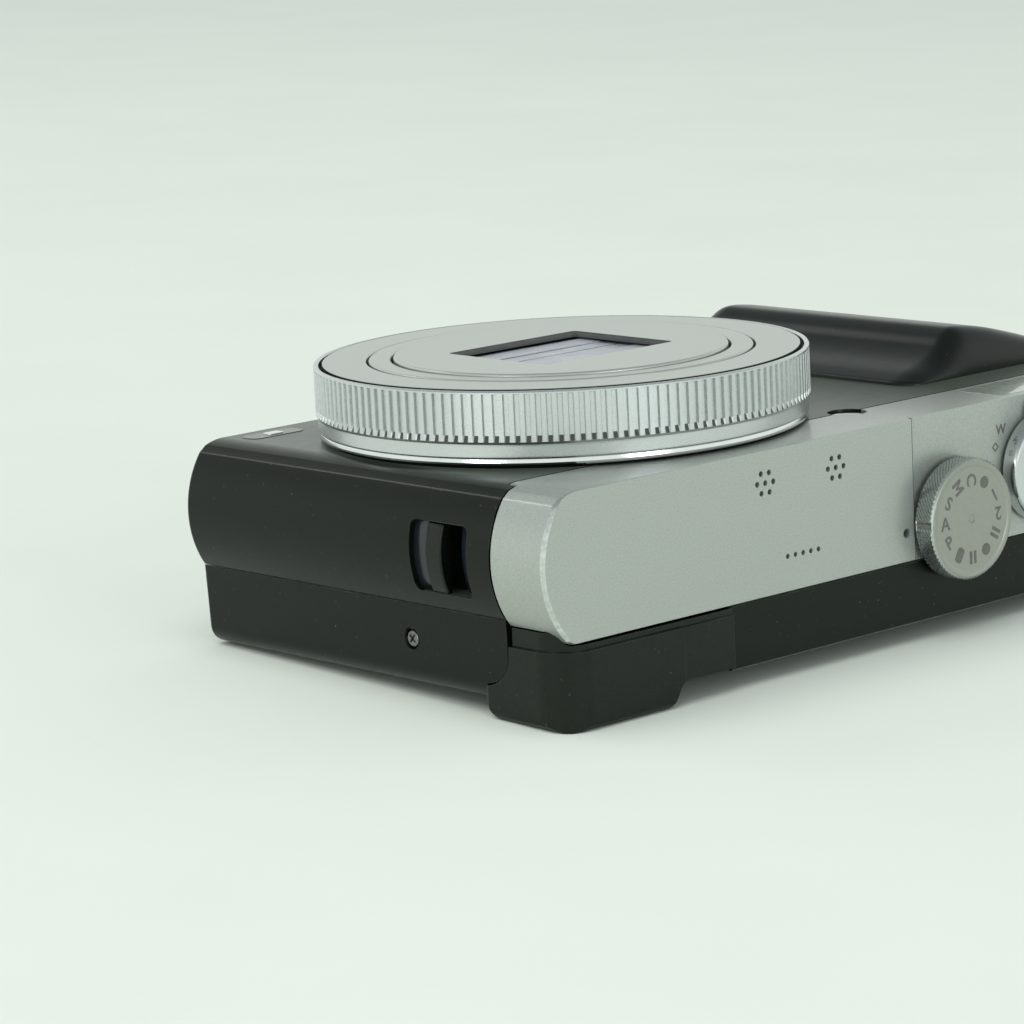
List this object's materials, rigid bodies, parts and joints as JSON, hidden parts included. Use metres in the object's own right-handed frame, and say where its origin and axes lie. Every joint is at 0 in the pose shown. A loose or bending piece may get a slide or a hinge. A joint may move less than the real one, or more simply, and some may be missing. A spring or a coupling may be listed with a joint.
{
  "type": "compact digital camera",
  "caption": "Compact travel-zoom digital camera lying on its back, with a ribbed control ring, nested zoom barrels, top dial, corner viewfinder and hand grip.",
  "frame": {"origin": "lens axis on the outer face of the rear screen glass", "axes": "+X towards the hand grip, +Y towards the base, so the top plate faces -Y, and +Z out of the lens"},
  "size_m": [0.1107, 0.0671, 0.037],
  "materials": {
    "front_cover": "fine matt black paint",
    "rear_cover": "fine matt black paint",
    "top_cover": "bead-blasted silver with a bright cut edge",
    "base_plate": "fine matt black paint",
    "base_screw_left": "blackened",
    "base_screw_right": "blackened",
    "tripod_socket": "nickel plated",
    "side_screw": "blackened",
    "strap_cup": "moulded",
    "strap_bar": "satin black",
    "grip": "fine matt black paint",
    "evf_housing": "satin black",
    "eye_frame": "matt",
    "evf_window": "coated",
    "evf_module": "moulded",
    "diopter_dial": "moulded",
    "control_ring": "turned and polished, fine ribs",
    "lens_collar": "moulded",
    "lens_bezel": "bead-blasted silver",
    "barrel_1": "satin anodised",
    "barrel_2": "satin black",
    "lens_front_cap": "bead-blasted silver",
    "front_lens": "polished, coated",
    "zoom_group": "moulded",
    "barrier_blade_a": "satin",
    "barrier_blade_b": "satin",
    "lens_rear_plate": "moulded",
    "zoom_motor": "plain",
    "lcd_glass": "polished glass over a dark screen",
    "lcd_panel": "plain",
    "chassis_frame": "pressed sheet",
    "main_board": "solder mask",
    "sensor_unit": "glassy",
    "battery_case": "moulded",
    "battery": "moulded",
    "memory_card": "moulded",
    "flash_window": "clear, patterned inside",
    "af_lamp": "translucent amber",
    "flash_capacitor": "sleeved",
    "speaker_unit": "plain",
    "mic_left": "plain",
    "mic_right": "plain",
    "usb_socket": "plated",
    "hdmi_socket": "plated",
    "mode_dial": "knurled, satin",
    "zoom_lever": "polished",
    "shutter_button": "polished rim",
    "power_button": "satin",
    "movie_button": "satin",
    "lvf_button": "satin black",
    "play_button": "satin black",
    "disp_button": "satin black",
    "delete_button": "satin black",
    "cursor_pad": "satin black",
    "set_button": "satin black",
    "thumb_rest": "finely dimpled",
    "battery_door": "fine matt black paint",
    "battery_door_pin": "plain",
    "door_latch": "ribbed",
    "port_door": "fine matt black paint"
  },
  "bodies": {
    "camera_body": {"front_cover": "front_cover", "rear_cover": "rear_cover", "top_cover": "top_cover", "base_plate": "base_plate", "base_screw_left": "base_screw_left", "base_screw_right": "base_screw_right", "tripod_socket": "tripod_socket", "side_screw": "side_screw", "strap_cup": "strap_cup", "strap_bar": "strap_bar", "grip": "grip", "evf_housing": "evf_housing", "eye_frame": "eye_frame", "evf_window": "evf_window", "evf_module": "evf_module", "lens_collar": "lens_collar", "lens_bezel": "lens_bezel", "lens_rear_plate": "lens_rear_plate", "zoom_motor": "zoom_motor", "lcd_glass": "lcd_glass", "lcd_panel": "lcd_panel", "chassis_frame": "chassis_frame", "main_board": "main_board", "sensor_unit": "sensor_unit", "battery_case": "battery_case", "battery": "battery", "memory_card": "memory_card", "flash_window": "flash_window", "af_lamp": "af_lamp", "flash_capacitor": "flash_capacitor", "speaker_unit": "speaker_unit", "mic_left": "mic_left", "mic_right": "mic_right", "usb_socket": "usb_socket", "hdmi_socket": "hdmi_socket", "thumb_rest": "thumb_rest", "battery_door_pin": "battery_door_pin"},
    "control_ring": {"control_ring": "control_ring"},
    "barrel_1": {"barrel_1": "barrel_1"},
    "barrel_2": {"barrel_2": "barrel_2", "lens_front_cap": "lens_front_cap", "front_lens": "front_lens"},
    "barrier_blade_a": {"barrier_blade_a": "barrier_blade_a"},
    "barrier_blade_b": {"barrier_blade_b": "barrier_blade_b"},
    "zoom_group": {"zoom_group": "zoom_group"},
    "mode_dial": {"mode_dial": "mode_dial"},
    "zoom_lever": {"zoom_lever": "zoom_lever"},
    "shutter_button": {"shutter_button": "shutter_button"},
    "power_button": {"power_button": "power_button"},
    "movie_button": {"movie_button": "movie_button"},
    "lvf_button": {"lvf_button": "lvf_button"},
    "play_button": {"play_button": "play_button"},
    "disp_button": {"disp_button": "disp_button"},
    "delete_button": {"delete_button": "delete_button"},
    "cursor_pad": {"cursor_pad": "cursor_pad"},
    "set_button": {"set_button": "set_button"},
    "diopter_dial": {"diopter_dial": "diopter_dial"},
    "battery_door": {"battery_door": "battery_door"},
    "door_latch": {"door_latch": "door_latch"},
    "port_door": {"port_door": "port_door"}
  },
  "joints": [
    {"name": "control_ring_turn", "type": "hinge", "parent": "camera_body", "child": "control_ring", "pos_m": [0, 0, 0.02585], "axis": [0, 0, 1], "continuous": true},
    {"name": "barrel_1_slide", "type": "slide", "parent": "camera_body", "child": "barrel_1", "axis": [0, 0, 1], "range_m": [0, 0.018]},
    {"name": "barrel_2_slide", "type": "slide", "parent": "barrel_1", "child": "barrel_2", "axis": [0, 0, 1], "range_m": [0, 0.018]},
    {"name": "zoom_group_slide", "type": "slide", "parent": "camera_body", "child": "zoom_group", "axis": [0, 0, 1], "range_m": [0, 0.006]},
    {"name": "barrier_blade_a_slide", "type": "slide", "parent": "barrel_2", "child": "barrier_blade_a", "axis": [0, 1, 0], "range_m": [0, 0.0076]},
    {"name": "barrier_blade_b_slide", "type": "slide", "parent": "barrel_2", "child": "barrier_blade_b", "axis": [0, -1, 0], "range_m": [0, 0.0076]},
    {"name": "mode_dial_turn", "type": "hinge", "parent": "camera_body", "child": "mode_dial", "pos_m": [0.0329, -0.03265, 0.0123], "axis": [0, -1, 0], "continuous": true},
    {"name": "zoom_lever_turn", "type": "hinge", "parent": "camera_body", "child": "zoom_lever", "pos_m": [0.0487, -0.03265, 0.0161], "axis": [0, -1, 0], "range_deg": [-25, 25], "stiffness_Nm_per_rad": 0.01},
    {"name": "shutter_button_press", "type": "slide", "parent": "camera_body", "child": "shutter_button", "axis": [0, 1, 0], "range_m": [0, 0.0009], "stiffness_N_per_m": 300, "springref_m": -0.0003},
    {"name": "power_button_press", "type": "slide", "parent": "camera_body", "child": "power_button", "axis": [0, 1, 0], "range_m": [0, 0.0005], "stiffness_N_per_m": 600, "springref_m": -0.0003},
    {"name": "movie_button_press", "type": "slide", "parent": "camera_body", "child": "movie_button", "axis": [0, 1, 0], "range_m": [0, 0.0005], "stiffness_N_per_m": 600, "springref_m": -0.0003},
    {"name": "lvf_button_press", "type": "slide", "parent": "camera_body", "child": "lvf_button", "axis": [0, 0, 1], "range_m": [0, 0.0004], "stiffness_N_per_m": 500, "springref_m": -0.0003},
    {"name": "play_button_press", "type": "slide", "parent": "camera_body", "child": "play_button", "axis": [0, 0, 1], "range_m": [0, 0.0004], "stiffness_N_per_m": 500, "springref_m": -0.0003},
    {"name": "disp_button_press", "type": "slide", "parent": "camera_body", "child": "disp_button", "axis": [0, 0, 1], "range_m": [0, 0.0004], "stiffness_N_per_m": 500, "springref_m": -0.0003},
    {"name": "delete_button_press", "type": "slide", "parent": "camera_body", "child": "delete_button", "axis": [0, 0, 1], "range_m": [0, 0.0004], "stiffness_N_per_m": 500, "springref_m": -0.0003},
    {"name": "set_button_press", "type": "slide", "parent": "camera_body", "child": "set_button", "axis": [0, 0, 1], "range_m": [0, 0.0004], "stiffness_N_per_m": 500, "springref_m": -0.0003},
    {"name": "cursor_pad_press", "type": "slide", "parent": "camera_body", "child": "cursor_pad", "axis": [0, 0, 1], "range_m": [0, 0.0004], "stiffness_N_per_m": 500, "springref_m": -0.0003},
    {"name": "diopter_dial_turn", "type": "hinge", "parent": "camera_body", "child": "diopter_dial", "pos_m": [-0.0096, -0.0288, 0.0015], "axis": [0, 0, 1], "range_deg": [-120, 120]},
    {"name": "battery_door_hinge", "type": "hinge", "parent": "camera_body", "child": "battery_door", "pos_m": [0.0442, 0.0297, 0.016], "axis": [0, 0, 1], "range_deg": [0, 95]},
    {"name": "door_latch_slide", "type": "slide", "parent": "battery_door", "child": "door_latch", "axis": [-1, 0, 0], "range_m": [0, 0.0035]},
    {"name": "port_door_hinge", "type": "hinge", "parent": "camera_body", "child": "port_door", "pos_m": [0.0763, -0.0094, 0.017], "axis": [0, 0, 1], "range_deg": [0, 95]}
  ],
  "couplings": [
    {"joint": "barrel_2_slide", "follows": "barrel_1_slide", "ratio": 1},
    {"joint": "zoom_group_slide", "follows": "barrel_1_slide", "ratio": 0.3333},
    {"joint": "barrier_blade_a_slide", "follows": "barrel_1_slide", "ratio": 0.4222},
    {"joint": "barrier_blade_b_slide", "follows": "barrel_1_slide", "ratio": 0.4222}
  ]
}
